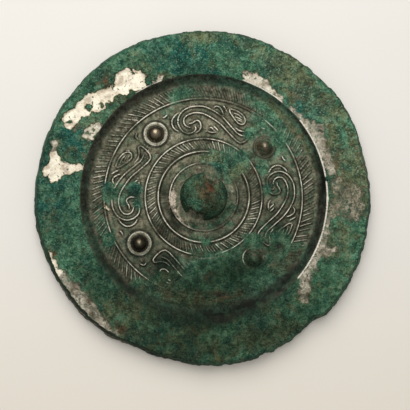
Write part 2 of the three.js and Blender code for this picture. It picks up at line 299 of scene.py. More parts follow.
# Crust that turns from green to olive brown.
OLIVE = (
    (58, 46, 12, 5, 0.5), (36, 49, 10, 3, 0.5), (72, 49, 8, 2, 0.4), (29.5, 44.8, 3.5, 1.5, 1.3),
    (12, 49.5, 16, 1.6, 1.1), (30, 35.6, 34, 1, 0.9), (238, 41, 8, 4, 0.4), (9, 46, 10, 6, 0.7),
    (16, 43, 9, 3.4, 0.7), (52, 46, 14, 7, 0.55), (262, 47, 54, 6, 0.32), (262, 42, 40, 4, 0.25),
    (266, 35, 34, 4, 0.5), (345, 44, 12, 6, 0.3), (137, 41, 26, 4, 0.4), (20, 13, 34, 3, 0.6),
    (6, 16.3, 14, 1.8, 0.6), (80, 12.4, 24, 2, 0.7), (90, 50, 8, 2, 0.5), (310, 36.5, 20, 1.5, 0.4),
    (225, 46, 12, 5, 0.3), (290, 46, 20, 6, 0.4),
)
# Teal, the bluest of the crust.
TEAL = (
    (157, 42, 5, 5, 0.8), (42, 42, 6, 4, 0.5), (8, 49, 4, 5, 0.5), (98, 44, 12, 6, 0.35),
    (182, 46, 12, 6, 0.3), (60, 10, 22, 1.5, 0.4), (172, 30.3, 5, 1.5, 0.6), (174, 21.5, 6, 2, 0.6),
)
# Evener crust, a plain dark green.
CALM = (
    (320, 44, 22, 7, 1), (270, 44, 36, 8, 0.85), (290, 27, 40, 9, 0.85), (345, 46, 10, 5, 0.4),
    (185, 44, 16, 6, 0.3),
)
# Dark reddish brown.
BROWN = (
    (280, 38.2, 6, 1.2, 0.8), (274, 32.4, 8, 1.4, 0.6), (39, 24.2, 5, 2.2, 0.35), (31, 16.6, 5, 1.6, 0.5),
    (281, 31, 11, 1.5, 0.9), (262, 30.6, 8, 0.8, 0.5), (272, 24.5, 6, 2.2, 0.4), (285, 34.6, 10, 1.3, 0.8),
    (316, 35.6, 8, 1.4, 0.7), (262, 18.2, 9, 1.2, 0.5), (250, 31.5, 6, 1.2, 0.45), (318, 31, 6, 2, 0.5),
    (201, 49.2, 2.4, 1.2, 0.9), (237.5, 47.9, 2.2, 1, 0.9), (129.5, 46.8, 2.4, 1.6, 0.8),
    (132.5, 46.4, 1.2, 2, 0.6), (152.5, 44.6, 2.2, 1, 0.7), (14, 43.4, 7, 1.2, 0.4),
    (8, 49.8, 9, 1.2, 0.35), (48, 41.6, 5, 1.6, 0.35), (52, 47, 8, 3, 0.2), (326, 34, 8, 2, 0.5),
    (216, 35.8, 16, 1, 0.45), (45, 48.5, 14, 2, 0.2),
)
# Metal rubbed pale, and a painted sheen, strongest on the seat's left edge.
PALE_AND_SHEEN = (
    (268, 19, 15, 0.22, 0.62), (300, 30.9, 10, 0.2, 0.35), (194, 9.8, 24, 1.1, 0.95),
    (179, 9.2, 10, 0.9, 1), (232, 10.1, 24, 0.7, 0.6), (150, 33, 36, 2.4, 0.2), (100, 9, 14, 0.8, 0.3),
    (133, 12.2, 12, 1.1, 0.35), (14, 9.3, 12, 0.8, 0.5), (346, 10.2, 12, 0.5, 0.5),
    (142, 21.5, 8, 1.6, 0.3), (115, 20.5, 9, 1.4, 0.3), (160, 20.5, 6, 1.2, 0.3), (152, 27.5, 4, 1.6, 0.3),
    (95, 28.8, 8, 1, 0.2),
)
# The lip of the recess where it is bare, with a painted highlight along its edge: (direction, half-width in
# degrees, strength).
LIP_HIGHLIGHT = ((339, 20.5, 1), (3, 4.5, 1), (24, 15, 0.95), (61, 11, 0.9), (117, 7, 0.65), (166.5, 2, 0.6))

# Patches of bare tinned metal on the rim, each a chain of (direction, radius, size), with their brightness:
# tarnish and painted reflection.
BARE = (
    (1, ((151, 47.3, 2.3), (147, 46.3, 2.1), (142.5, 45.4, 2.6), (138.5, 44.3, 2.8), (135, 42.9, 2.7),
         (131, 42.2, 2.1), (127, 41.8, 2.4), (124, 42, 2.8), (120.5, 41.3, 2.8), (119.5, 38.8, 1.7))),
    (1, ((127, 43, 1.5), (125, 45, 1.2), (120.5, 44, 1.1))),
    (0.75, ((113, 38.2, 0.7), (110.5, 38.6, 0.9), (109, 39, 0.5))),
    (0.7, ((153, 38.6, 0.8), (152.5, 40.6, 1.2), (150, 39.6, 1.5), (147.5, 38.8, 1.3))),
    (0.62, ((161, 48.2, 1), (163.6, 47.7, 0.9))),
    (1, ((163.6, 47.7, 0.8), (166.5, 46.8, 1.8), (169.5, 47.2, 2.5), (172.5, 46.4, 1.9), (169.5, 44, 2),
         (168.5, 42, 1.4), (167.5, 39.4, 1), (167.3, 38.3, 0.9))),
    (0.72, ((70.5, 39.8, 1.7), (67.5, 39.8, 2.1), (63.5, 39.8, 1.9), (60, 39.2, 1.4), (56.5, 38.6, 1.1),
            (52.5, 38.2, 0.6), (49, 38, 0.4))),
    (0.5, ((45.5, 38.1, 0.35), (41.5, 38.4, 0.6), (37.5, 39, 1.1), (33, 39.9, 1.9), (30, 40.4, 2.4),
           (26, 40.1, 2.1), (21.5, 39.9, 1.9), (17.5, 40.1, 1.8), (13, 40.2, 1.8), (10.5, 40.2, 1.3))),
    (0.22, ((5.5, 40.4, 1.4), (3.5, 43.2, 3.2), (0.5, 45, 4), (356.5, 46.4, 3.3), (353.5, 46.4, 2.4),
            (356.5, 42, 3.2), (352.5, 40, 1.7))),
    (0.36, ((352.5, 38.6, 0.6), (348.5, 38.9, 0.8), (344.5, 39.2, 1), (341.5, 39.2, 1.1), (338, 39, 1.1),
            (336.5, 40.4, 1.6), (336, 41.8, 1.5), (338, 43.2, 0.8))),
    (0.38, ((338, 39, 1.1), (332.5, 39.4, 1.3), (328.5, 39.4, 1.2), (324, 39.2, 1.2), (320.5, 40.2, 1.6),
            (317.5, 42, 2), (315, 43.6, 1.6))),
    (0.9, ((199.5, 50.8, 0.5), (202.5, 50.6, 1), (206, 50.3, 1.4), (209, 49.9, 1.6))),
    (0.42, ((209, 49.9, 1.6), (213, 49, 2.3), (218, 48.9, 2.3), (224, 49.1, 2.6), (230, 49.9, 2.3),
            (235, 50.2, 1.6), (239, 50.4, 0.8))),
    (0.9, ((186.5, 30.2, 0.5), (188.5, 29.6, 0.6))),
)
# Crust left standing inside them.
HOLES = (
    (142.3, 44.8, 1), (138.9, 41.8, 1.1), (136.8, 40.3, 1.2), (131.3, 39.5, 1.7), (140.5, 41.4, 0.6),
    (168, 44.4, 0.4), (151.5, 46.6, 0.5), (149.5, 39.8, 0.7), (151, 40.8, 0.5), (134, 39, 1),
)

# How a nipple shows: its direction, the height of the bank round it, the painted light on that bank, how much
# metal shows and out to what radius, more metal at its tip, the painted highlight on it and that highlight's
# radius, how much crust is taken from it, how clear of stains it is, and what share of the cover stays.
Nipple = namedtuple("Nipple", "at bank light metal metal_r tip glow glow_r cleared kept_clear covered")
# The upper right one is half crusted over, the next two are clean and the lower right one is buried.
NIPPLES = (
    Nipple(at=39.4, bank=0.5, light=0.16, metal=0.5, metal_r=1.9, tip=0.5, glow=1.6, glow_r=0.62,
           cleared=1.0, kept_clear=0.8, covered=0.1),
    Nipple(at=127.6, bank=1, light=0.52, metal=1.0, metal_r=2.6, tip=0.0, glow=1.0, glow_r=1.15,
           cleared=3, kept_clear=1.0, covered=0),
    Nipple(at=216.2, bank=1, light=0.44, metal=1.0, metal_r=2.6, tip=0.0, glow=1.5, glow_r=0.6,
           cleared=3, kept_clear=1.0, covered=0),
    Nipple(at=309.2, bank=0.5, light=1.0, metal=0.0, metal_r=0.1, tip=0.0, glow=0.0, glow_r=1.0,
           cleared=0.45, kept_clear=0.1, covered=0.2),
)


def chain_depth(xy, chain):
    """How far each point lies inside a chain of discs joined by straight sides, in millimetres."""
    best = np.full(len(xy), -9.0)
    for (a0, r0, s0), (a1, r1, s1) in zip(chain, chain[1:]):
        p, q = spot(a0, r0), spot(a1, r1)
        t = np.clip(((xy - p) @ (q - p)) / ((q - p) @ (q - p)), 0, 1)
        near = p + t[:, None] * (q - p)
        best = np.maximum(best, s0 + t * (s1 - s0) - np.hypot(*(xy - near).T))
    return best


def bare_metal(xy):
    """How far each point lies inside a bare patch, and how bright that patch is, from its tarnish and a
    painted reflection.
    """
    depth, bright = np.full(len(xy), -9.0), np.zeros(len(xy))
    for brightness, chain in BARE:
        d = chain_depth(xy, chain)
        bright = np.where(d > depth, brightness, bright)
        depth = np.maximum(depth, d)
    for angle, radius, size in HOLES:
        depth = np.minimum(depth, np.hypot(*(xy - spot(angle, radius)).T) - size)
    return np.clip(depth, -2, 2), bright


def blobs(entries, angle, radius):
    """The strongest of some soft spots at each point."""
    best = np.zeros(len(angle))
    for at, r, half, deep, strength in entries:
        out = np.hypot(turn_from(angle, at) / half, (radius - r) / deep)
        best = np.maximum(best, strength * np.exp(-(out**2.4) * 0.9))
    return best


def field_crust(xy):
    """How thickly the field is crusted over, from -1 for bare metal to 1.5."""
    r, angle = polar(xy[:, 0], xy[:, 1])
    cover = np.full(len(xy), -1.0)
    for at, radius, half, deep, strength in FIELD_CRUST:
        out = np.hypot(turn_from(angle, at) / half, (r - radius) / deep)
        cover = np.maximum(cover, strength * (1.2 - out))
    cover = cover - 0.8 * bump(angle, 229, 4) * peak(r, 28.2, 1.8)
    p = np.column_stack([xy, np.zeros(len(xy))])
    return np.clip(cover + 0.35 * fbm(p, 3.0, 5, 3) - 0.05, -1, 1.5)


# ---- The plate, a closed mesh of rings of vertices ----

# The back's profile from the middle outwards: (radius, height).
PROFILE = np.array([
    (0, SEAT_Z), (SEAT_R - 0.35, SEAT_Z), (SEAT_R - 0.1, SEAT_Z + 0.08), (SEAT_R + 0.3, FIELD_Z),
    (FIELD_R - 0.8, FIELD_Z), (FIELD_R, FIELD_Z + 0.05), (RIM_IN_R - 0.2, RIM_TOP - 0.3),
    (RIM_IN_R + 0.3, RIM_TOP), (BACK_R - 0.5, RIM_TOP + RIM_LIFT), (BACK_R, RIM_TOP + RIM_LIFT - 0.4),
])


def back_height(r):
    """The profile's height, with its corners rounded."""
    offsets = (-0.16, -0.08, 0, 0.08, 0.16)
    return sum(np.interp(np.abs(r + o), PROFILE[:, 0], PROFILE[:, 1]) for o in offsets) / len(offsets)


def ring_list():
    """Rings from the middle of the back, over the rim and under to the middle of the face:
    (radius, height or None on the back, spacing round the ring)."""
    rings = [(0.45, None, 0.5)]
    # (inner radius, outer radius, step outwards, spacing round)
    for low, high, step, spacing in (
        (0.45, 6.3, 0.9, 0.9), (6.3, 10.1, 0.3, 0.36), (10.1, BOLD_RING_R, 0.24, 0.28),
        (BOLD_RING_R, HATCH_RING_R, 0.24, 0.28), (HATCH_RING_R, FIELD_RING_R, 0.24, 0.28),
        (FIELD_RING_R, 35.3, 0.24, 0.28), (35.3, 38.3, 0.26, 0.38), (38.3, BACK_R - 0.5, 0.38, 0.44),
    ):
        n = round((high - low) / step)
        rings += [(low + (high - low) * (k + 1) / n, None, spacing) for k in range(n)]
    rings += [(BACK_R - 0.25, RIM_TOP + 0.14, 0.46), (BACK_R - 0.05, RIM_TOP - 0.1, 0.46)]
    rings += [(FACE_R - RIM_DRAFT * (z - 1.5) / 3.35, z, 0.52) for z in (4.3, 3.6, 2.9, 2.2, 1.6)]
    rings += [(FACE_R - 0.08, 1.22, 0.52), (FACE_R - 0.45, 1.0, 0.6)]
    for r in (50.3, 48.8, 47, 44.8, 42.3, 39.5, 36.4, 33, 29.5, 26, 22.3, 18.6, 15, 11.5, 8, 4.5, 1.5):
        rise = max(0, (r - FACE_FLAT_R) / (FACE_R - FACE_FLAT_R))
        rings.append((r, FACE_RISE * rise**2, 1.6 if r < 49 else 1.0))
    return rings


rings = ring_list()
counts = [max(6, round(2 * math.pi * r / spacing)) for r, z, spacing in rings]
first = [sum(counts[:k]) for k in range(len(rings))]
radius = np.repeat([float(r) for r, z, spacing in rings], counts)
height = np.repeat([np.nan if z is None else z for r, z, spacing in rings], counts)
angle = np.concatenate([(np.arange(n) + 0.5 * (k % 2)) * 360 / n for k, n in enumerate(counts)])
on_top = np.isnan(height)
is_side = ~on_top & (height > 0.99)
centre_top, centre_under = len(radius), len(radius) + 1


def stitch(a, b):
    """Triangles between two neighbouring rings."""
    start_a, count_a, start_b, count_b = first[a], counts[a], first[b], counts[b]
    middles_a = angle[start_a:start_a + count_a] + 180 / count_a
    middles_b = angle[start_b:start_b + count_b] + 180 / count_b
    on_a = np.argsort(np.concatenate([middles_a, middles_b]), kind="stable") < count_a
    i, j = np.cumsum(on_a) - on_a, np.cumsum(~on_a) - ~on_a
    third = np.where(on_a, start_a + (i + 1) % count_a, start_b + (j + 1) % count_b)
    return np.column_stack([start_a + i % count_a, start_b + j % count_b, third])


def fan(centre, ring):
    """Triangles from a centre to the ring round it."""
    k = np.arange(counts[ring])
    return np.column_stack([np.full(len(k), centre), first[ring] + k, first[ring] + (k + 1) % len(k)])


faces = [stitch(k, k + 1) for k in range(len(rings) - 1)]
faces = np.vstack(faces + [fan(centre_top, 0), fan(centre_under, len(rings) - 1)[:, [0, 2, 1]]])


SNAP_WITHIN, SNAP_SHARE, RING_CLEARANCE = 0.125, 0.85, 0.3


def snap_to_lines(flat, chosen):
    """Moves vertices beside a line onto it, so that its crest is clean. Gives each vertex's distance from the
    nearest line, with that line's height and kind."""
    distance, tall, kind = np.full(len(flat), 9.0), np.zeros(len(flat)), np.zeros(len(flat))
    for i in np.nonzero(chosen)[0]:
        _, k, d = line_tree.find((flat[i, 0], flat[i, 1], 0))
        to_ring = min(abs(radius[i] - r) for r in (BOLD_RING_R, HATCH_RING_R, FIELD_RING_R))
        if d < SNAP_WITHIN and to_ring > RING_CLEARANCE:
            flat[i] += SNAP_SHARE * (line_points[k] - flat[i])
            d *= 1 - SNAP_SHARE
        distance[i], tall[i], kind[i] = d, line_height[k], line_kind[k]
    return distance, tall, kind


flat = np.column_stack([radius * np.cos(np.radians(angle)), radius * np.sin(np.radians(angle))])
in_relief = on_top & (radius > SEAT_R) & (radius < FIELD_R - 0.1)
line_distance, line_tall, nearest_kind = snap_to_lines(flat, in_relief)


def worn_edge(angle):
    """How far the outline stands out or is worn back at each vertex, with small notches."""
    edge = sum(size * bump(angle, at, half) for at, half, size in EDGE_CHANGES)
    x, y = 51 * np.cos(np.radians(angle)), 51 * np.sin(np.radians(angle))
    place = np.column_stack([x, y, np.where(on_top, 1.5, 0.3 * height)])
    crumble = 0.85 + 0.8 * bump(angle, 305, 36) + 0.3 * bump(angle, 235, 20)
    notches = smooth(noise(place, 1.9, 31), 0.0, 0.16) + 0.6 * smooth(noise(place, 1.1, 33), 0.05, 0.25)
    return edge + crumble * (0.16 + 0.2 * fbm(place, 3.4, 21, 2) - 0.24 * notches)


def filled_wall(r, angle):
    """How far crust at the lower wall moves its foot in and its top out."""
    places = (FIELD_R - 4, FIELD_R, (RIM_IN_R + FIELD_R) / 2, RIM_IN_R, RIM_IN_R + 4)
    moved = bump(angle, FILL_AT, FILL_HALF_WIDTH) * np.interp(r, places, (0, -FILL_IN, -0.5, FILL_OUT, 0))
    return np.where(on_top & (r > places[0]) & (r < places[-1]), moved, 0)


r, angle = polar(flat[:, 0], flat[:, 1])
shift = smooth(r, RIM_IN_R + 1, BACK_R - 1) * worn_edge(angle) + filled_wall(r, angle)
flat *= ((r + shift) / np.maximum(r, 1e-6))[:, None]
p3 = np.column_stack([flat, np.where(on_top, 0, height * 2)])
on_field = on_top & (r < FIELD_R + 0.1)

bare, bright = bare_metal(flat)
bare = np.where(on_top & ((r > RIM_IN_R - 0.05) | (r < RIM_IN_R - 4)), bare, -2)
crust = np.where(on_top & (r < RIM_IN_R), field_crust(flat), 1.0)
covered = smooth(crust, 0.0, 0.55)

# ---- Cast relief, worn away under the crust ----


class Relief:
    """The relief's height over the plate, how far each vertex is on a worn crest with a painted highlight,
    and how far in the grime and painted shade beside it.
    """

    def __init__(self, count):
        self.height, self.crest, self.flank = np.zeros(count), np.zeros(count), np.zeros(count)

    def ridge(self, d, tall, wide, visible=1.0):
        hollow = 0.05 * peak(np.abs(d), 2.1 * wide, 0.8 * wide) * (tall > 0)
        self.height = self.height + tall * np.exp(-np.abs(d / wide) ** 1.6) - hollow
        self.crest = np.maximum(self.crest, visible * peak(d, 0, 0.55 * wide))
        self.flank = np.maximum(self.flank, visible * peak(np.abs(d), 1.9 * wide, 0.95 * wide))

    def clear(self, chosen):
        for values in (self.height, self.crest, self.flank):
            values[chosen] = 0


def nipple_light(nipple, d, way):
    """The painted highlight and shade in rings round a nipple, at a distance and in a direction from its
    middle.
    """
    if nipple.bank == 1:
        edges = peak(d, 3.6, 0.16) + 0.45 * peak(d, 2.85, 0.16)
        light = nipple.light * peak(d, 3.2, 0.5, 4) + 0.5 * edges
        return light, 0.95 * peak(d, 4.15, 0.35) + 0.8 * peak(d, 2.5, 0.2)
    if nipple.metal > 0:
        light = nipple.light * peak(d, 2.75, 0.2) * bump(way, 170, 60)
        return light, 0.9 * peak(d, 3.5, 0.22) + 0.35 * peak(d, 2.35, 0.2) + 0.3 * peak(d, 2.95, 0.12)
    light = nipple.light * peak(d, 3.4, 0.17) * bump(way, 168, 60)
    light = light + 0.4 * peak(d, 3.1, 0.15) * bump(way, 10, 35)
    shadow = 0.9 * peak(d, 3.85, 0.25) * (0.5 + 0.5 * bump(way, 150, 80))
    return light, shadow + 0.4 * peak(d, 2.8, 0.2) + 0.35 * peak(d, 1.6, 0.2)


relief = Relief(len(r))
straight = nearest_kind == STRAIGHT
seen = np.where(straight, 0.85 * smooth(line_tall, 0.0, 0.28), smooth(line_tall, 0.1, 0.3))
relief.ridge(line_distance, line_tall, np.where(straight, 0.21, 0.25), seen)
relief.ridge(r - BOLD_RING_R, np.where(on_field, 0.6, 0), 0.3)
relief.ridge(r - HATCH_RING_R, np.where(on_field, 0.36, 0), 0.26)
relief.ridge(r - FIELD_RING_R, np.where(on_field, 0.36, 0), 0.26)
# the seat's edge carries a painted highlight, strongest on the left
seat_highlight = 0.5 + 0.6 * bump(angle, 180, 75) + 0.4 * bump(angle, 356, 22)
relief.ridge(r - (SEAT_R - 0.05), np.where(on_field, 0.05, 0), 0.22, seat_highlight)

metal, kept_clear, glow, dome = (np.zeros(len(r)) for _ in range(4))
for nipple in NIPPLES:
    from_middle = flat - spot(nipple.at, NIPPLE_CIRCLE_R)
    d, way = polar(*from_middle.T)
    inside = d < NIPPLE_BASE_R + 0.9
    relief.clear(inside)
    ball = np.sqrt(np.clip(1 - (d / NIPPLE_R) ** 2, 0, 1))
    raised = 0.5 * nipple.bank * peak(d, 3.2, 0.5, 4) + NIPPLE_H * ball
    relief.height = relief.height + np.where(inside, raised, 0)
    dome = np.maximum(dome, smooth(-d, -2.75, -2.45))
    light, shadow = nipple_light(nipple, d, way)
    # the rings' painted highlight goes on the crests and their painted shade beside them
    relief.crest = np.maximum(relief.crest, np.where(inside, light, 0))
    relief.flank = np.maximum(relief.flank, np.where(inside, shadow, 0))
    # crust lies on the right side of the half-crusted one
    share = 1 - 0.8 * bump(way, 20, 60) if nipple.tip > 0 else 1.0
    within = smooth(-d, -nipple.metal_r - 0.15, -nipple.metal_r + 0.15)
    metal = np.maximum(metal, (nipple.metal + nipple.tip * peak(d, 0, 0.9)) * within)
    crust = np.where(d < 4.3, crust - share * nipple.cleared * smooth(-d, -4.2, -3.4), crust)
    # a painted highlight on each nipple's dome
    glow = np.maximum(glow, nipple.glow * peak(d, 0, nipple.glow_r))
    kept_clear = np.maximum(kept_clear, share * nipple.kept_clear * smooth(-d, -4.1, -3.6))
    covered = np.where(d < NIPPLE_BASE_R, covered * nipple.covered, covered)

# how much of the crests' worn metal and painted highlight shows
worn_and_lit = 0.5 + 0.5 * smooth(fbm(p3, 5, 41, 3), -0.6, 0.3)
worn_and_lit = np.where(kept_clear > 0.05, 1, np.maximum(worn_and_lit, bump(angle, 229, 6)))
worn_and_lit = worn_and_lit * (1 - 0.5 * bump(angle, 232, 22) * (r > 14.8) * (r < 17.9))
worn_and_lit = worn_and_lit * (1 - 0.65 * bump(angle, 82, 22) * (r > 31.2))
worn_and_lit = worn_and_lit * (1 - 0.75 * window(angle, 75, 19, 5) * (np.abs(r - FIELD_RING_R) < 0.5))
on_serpent = (nearest_kind == CURVED) & (line_distance < 0.7)
crest = relief.crest * worn_and_lit * (1 - np.where(on_serpent, 0.95, 0.55) * smooth(covered, 0.15, 0.75))
flank = relief.flank * (1 - 0.8 * covered)

# ---- Heights: the cast shape, the crust and its roughness ----

z = np.where(on_top, back_height(r), height)
z = z + np.where(on_field, relief.height * np.where(dome > 0, 1, 1 - 0.8 * covered), 0)
lumps = 0.5 + 0.5 * fbm(p3, 2.6, 51, 4)
mound = np.sqrt(np.clip(1 - (flat[:, 0] + 1.5) ** 2 / 17**2 - (flat[:, 1] + 27.5) ** 2 / 8.5**2, 0, 1))
z = z + np.where(on_field, covered * (0.12 + 0.3 * lumps) * (1 - 0.6 * dome) + covered * 0.62 * mound, 0)
on_rim = on_top & (r > RIM_IN_R - 1)
rim_rough = 0.16 * fbm(p3, 7, 61, 2) + 0.2 * fbm(p3, 1.9, 71, 3)
bare_here = smooth(bare, -0.25, 0.25)
z = z + np.where(on_rim, (1 - bare_here) * rim_rough + bare_here * (0.05 * fbm(p3, 4, 91, 2) - 0.16), 0)
z = z + np.where(on_top & (r >= 35) & (r <= RIM_IN_R - 1), 0.07 * fbm(p3, 1.6, 81, 3), 0)
z = z + np.where(on_field & (r > 7.3), 0.035 * fbm(p3, 2.2, 95, 3), 0)
# crust piled round the knob's foot, clear of the channel's mouths
channel_way = spot(CHANNEL_AT, 1)
across = np.abs(flat[:, 0] * channel_way[1] - flat[:, 1] * channel_way[0])
foot = peak(r, 7.3, 0.9) * smooth(across, 2.8, 4.4)
z = z + np.where(on_field, 0.4 * foot * (0.6 + 0.4 * noise(p3, 2, 97)), 0)
is_face = ~on_top & ~is_side
z = z + np.where(is_face & (r > FACE_FLAT_R + 2), 0.05 + 0.05 * fbm(p3, 6, 99, 3), 0)

side = np.column_stack([flat, np.where(is_side, height * 1.5, 0)])
side_push = np.where(is_side, 0.12 * fbm(side, 1.8, 103, 3), 0)
pushed = flat * (1 + side_push / np.maximum(np.hypot(*flat.T), 1))[:, None]
vertices = np.vstack([np.column_stack([pushed, z]), [(0, 0, SEAT_Z), (0, 0, 0)]])

# ---- Where the layers of the material lie ----

# Cracks in the crust at the foot of the lower wall: (direction, half-width in degrees, radius,
# slant in millimetres for each degree, half-depth).
CRACKS = (
    (278.5, 4.5, 37.5, 0.0, 0.6), (292, 5.5, 36.5, -0.09, 0.75), (283, 6, 35.0, -0.05, 0.4),
    (279.5, 6, 30.6, -0.03, 0.6), (316, 6, 35.6, 0.05, 0.7),
)
line_on_side = is_side & (height > 2.1) & (height < 3.0)


def wall_patina_and_shade():
    """How black the recess's wall, the foot of it and the rim's side at the lower left are, from black patina
    and painted shade, which differs from side to side.
    """
    upper_left, lower = window(angle, 122, 66, 10), window(angle, 258, 72, 14)
    right = np.clip(1 - upper_left - lower, 0, 1)
    under_lip = 1 - smooth(r, RIM_IN_R - 0.3, RIM_IN_R + 0.08)
    foot_shade = 0.75 - 0.6 * bump(angle, 40, 22)
    # painted shade reaches from under the lip onto the field's foot at the upper left and the right
    wall = upper_left * smooth(r, 33.4, 37.2) * under_lip
    wall = wall + right * under_lip * (smooth(r, 36.5, 37.4) + foot_shade * smooth(r, 34.8, 36.2))
    strength = 0.68 + 0.2 * bump(angle, 212, 26) + 0.4 * bump(angle, 318, 28) + 0.3 * bump(angle, 280, 16)
    wall = wall + lower * peak(r, 36.5, 1.25 + 0.5 * bump(angle, 318, 28)) * strength
    on_side = np.where(is_side & ~line_on_side, 0.7 * bump(angle, 226, 30), 0)
    return np.where(on_top, np.clip(wall, 0, 1), on_side)


def cracks():
    deepest = np.zeros(len(r))
    for at, half, place, slant, deep in CRACKS:
        line = peak(r - place, slant * turn_from(angle, at), deep)
        deepest = np.maximum(deepest, bump(angle, at, half) * line)
    return np.where(on_top, deepest, 0)


# The lip's bare edge, with a painted highlight along it.
def lip_highlight():
    along = sum(bright * smooth(half + 1 - np.abs(turn_from(angle, at)), 0, 2) for at, half, bright in LIP_HIGHLIGHT)
    return np.where(on_top, along * peak(r - RIM_IN_R, 0.12, 0.26), 0)


def rubbed_rim():
    """Metal rubbed bright beside the recess, at the right."""
    along = window(angle, 32, 16, 8) + 0.7 * window(angle, 337, 12, 5)
    return np.where(on_top, 0.75 * smooth(RIM_IN_R + 3.2 - r, 0, 2.2) * along, 0)


wobble = 1.6 * np.column_stack([fbm(p3, 6, 131, 3), fbm(p3, 6, 141, 3)])
wobbly_r, wobbly_angle = polar(*(flat + wobble).T)


def layer(entries, chosen=on_top, elsewhere=0):
    """A list's soft spots, with wobbly borders."""
    return np.where(chosen, blobs(entries, wobbly_angle, wobbly_r), elsewhere)


stained = np.maximum(layer(STAIN), smooth(crust, -0.3, 0.3) * 0.9) * (1 - 0.85 * kept_clear)
dark, olive, teal = (layer(entries, on_top | is_side, 0.2) for entries in (DARK, OLIVE, TEAL))
pale = np.where(on_field, blobs(PALE_AND_SHEEN, angle, r), 0)
attributes = {
    "bare": bare, "bright": bright, "crust": crust, "crest": crest, "flank": flank, "metal": metal,
    "glow": glow, "wall": wall_patina_and_shade(), "crack": cracks(), "lip": lip_highlight(), "rubbed": rubbed_rim(),
    "stain": np.where(on_top, stained, 0), "olive": olive, "teal": teal, "calm": layer(CALM),
    "red": layer(BROWN),
    "dark": np.where(is_side, np.maximum(dark, 0.55 + 0.4 * bump(angle, 232, 45)), dark),
    # pale metal and painted sheen on the field, and a pale band along the rim's side at the lower left
    "pale": np.where(line_on_side, 0.85 * bump(angle, 228, 24), pale),
    "rim": np.where(on_top & (r < RIM_IN_R + 0.1), 0.0, 1.0),
    "under": np.where(is_face, 1.0, 0.0),
}
attributes = {name: np.append(values, [values[0], values[-1]]) for name, values in attributes.items()}

# ---- The knob, a pierced dome whose foot is sunk in the seat ----

KNOB_ACROSS, KNOB_ALONG, TUNNEL_ALONG = 56, 40, 12
KNOB_SUNK, MOUTH_ROUND = 0.25, 0.35


def arch_point(share):
    """A point (x, z) of the channel's arch, at a share of its length from the right foot over to the left."""
    if share > 0.5:
        x, z = arch_point(1 - share)
        return -x, z
    flat_half, shoulder = CHANNEL_W / 2 - CHANNEL_ROUND, CHANNEL_TOP - CHANNEL_ROUND
    side, curve = shoulder - SEAT_Z, CHANNEL_ROUND * math.pi / 2
    s = share * 2 * (side + curve + flat_half)
    if s < side:
        return CHANNEL_W / 2, SEAT_Z + s
    if s < side + curve:
        t = (s - side) / CHANNEL_ROUND
        return flat_half + CHANNEL_ROUND * math.cos(t), shoulder + CHANNEL_ROUND * math.sin(t)
    return flat_half - (s - side - curve), CHANNEL_TOP


def knob_row(x, z):
    """A loop along the dome above a point of the arch and back through the channel: (x, y, z, 1 outside)."""
    u, v = x / KNOB_R, (z - SEAT_Z) / KNOB_H
    size = math.hypot(u, v)
    y_mouth = KNOB_R * math.sqrt(max(0, 1 - (size + 0.05) ** 2))
    row = []
    for j in range(KNOB_ALONG + 1):
        y = y_mouth * math.sin(math.pi / 2 * (2 * j / KNOB_ALONG - 1))
        rho = math.sqrt(max(0, 1 - (y / KNOB_R) ** 2))
        row.append((KNOB_R * rho * (u / size), y, SEAT_Z + KNOB_H * rho * (v / size), 1.0))
    for j in range(TUNNEL_ALONG + 1):
        row.append((x, (y_mouth - MOUTH_ROUND) * (1 - 2 * j / TUNNEL_ALONG), z, 0.0))
    return row


grid = np.array([knob_row(*arch_point(i / KNOB_ACROSS)) for i in range(KNOB_ACROSS + 1)])
grid[[0, -1], :, 2] = SEAT_Z - KNOB_SUNK
knob, outside = grid[..., :3].reshape(-1, 3), grid[..., 3].ravel()
outwards = knob - (0, 0, SEAT_Z)
outwards = outwards / np.linalg.norm(outwards, axis=1)[:, None]
push = (0.2 * fbm(knob, 3.5, 111, 2) + 0.14 * fbm(knob, 1.2, 121, 3) - 0.12) * outside
knob = knob + outwards * np.where(knob[:, 2] < SEAT_Z, 0, push)[:, None]
cos_turn, sin_turn = math.cos(math.radians(CHANNEL_AT - 90)), math.sin(math.radians(CHANNEL_AT - 90))
knob = knob @ np.array([[cos_turn, sin_turn, 0], [-sin_turn, cos_turn, 0], [0, 0, 1]])

index = len(vertices) + np.arange(len(knob)).reshape(grid.shape[:2])
a, b = index[:-1], index[1:]
quads = np.stack([a, np.roll(a, -1, 1), np.roll(b, -1, 1), b], axis=-1).reshape(-1, 4)
# the two feet are closed flat below the seat
caps = [index[0], index[-1][::-1]]
vertices = np.vstack([vertices, knob])


def near_place(x, y, size):
    """A soft spot of height 1 on the knob."""
    return peak(np.hypot(knob[:, 0] - x, knob[:, 1] - y), 0, size)


# Darker crust and painted shade on the knob: darker on its lower left, low on its sides and inside the
# channel.
knob_crust_and_shade = 0.64 + 0.3 * smooth(-knob @ (0.6, 0.7, 0), -1.5, 6.0)
knob_crust_and_shade = knob_crust_and_shade - 0.55 * near_place(-2.8, -2.6, 2.2) + 0.25 * near_place(3.2, -3.0, 2.4)
knob_crust_and_shade = knob_crust_and_shade + 0.7 * (1 - outside) + 0.45 * smooth(-knob[:, 2], -6.5, -3.0)
knob_attributes = {
    "crust": 0.9, "stain": 1.0, "bare": -2.0, "dark": np.clip(knob_crust_and_shade, 0, 1),
    "olive": 0.8 * outside * near_place(1.0, 1.0, 4.5),
    "red": 0.03 * outside + outside * 1.3 * near_place(1.3, 2.3, 2.9),
}
for name in attributes:
    attributes[name] = np.append(attributes[name], np.zeros(len(knob)) + knob_attributes.get(name, 0.0))

# ---- The piece ----

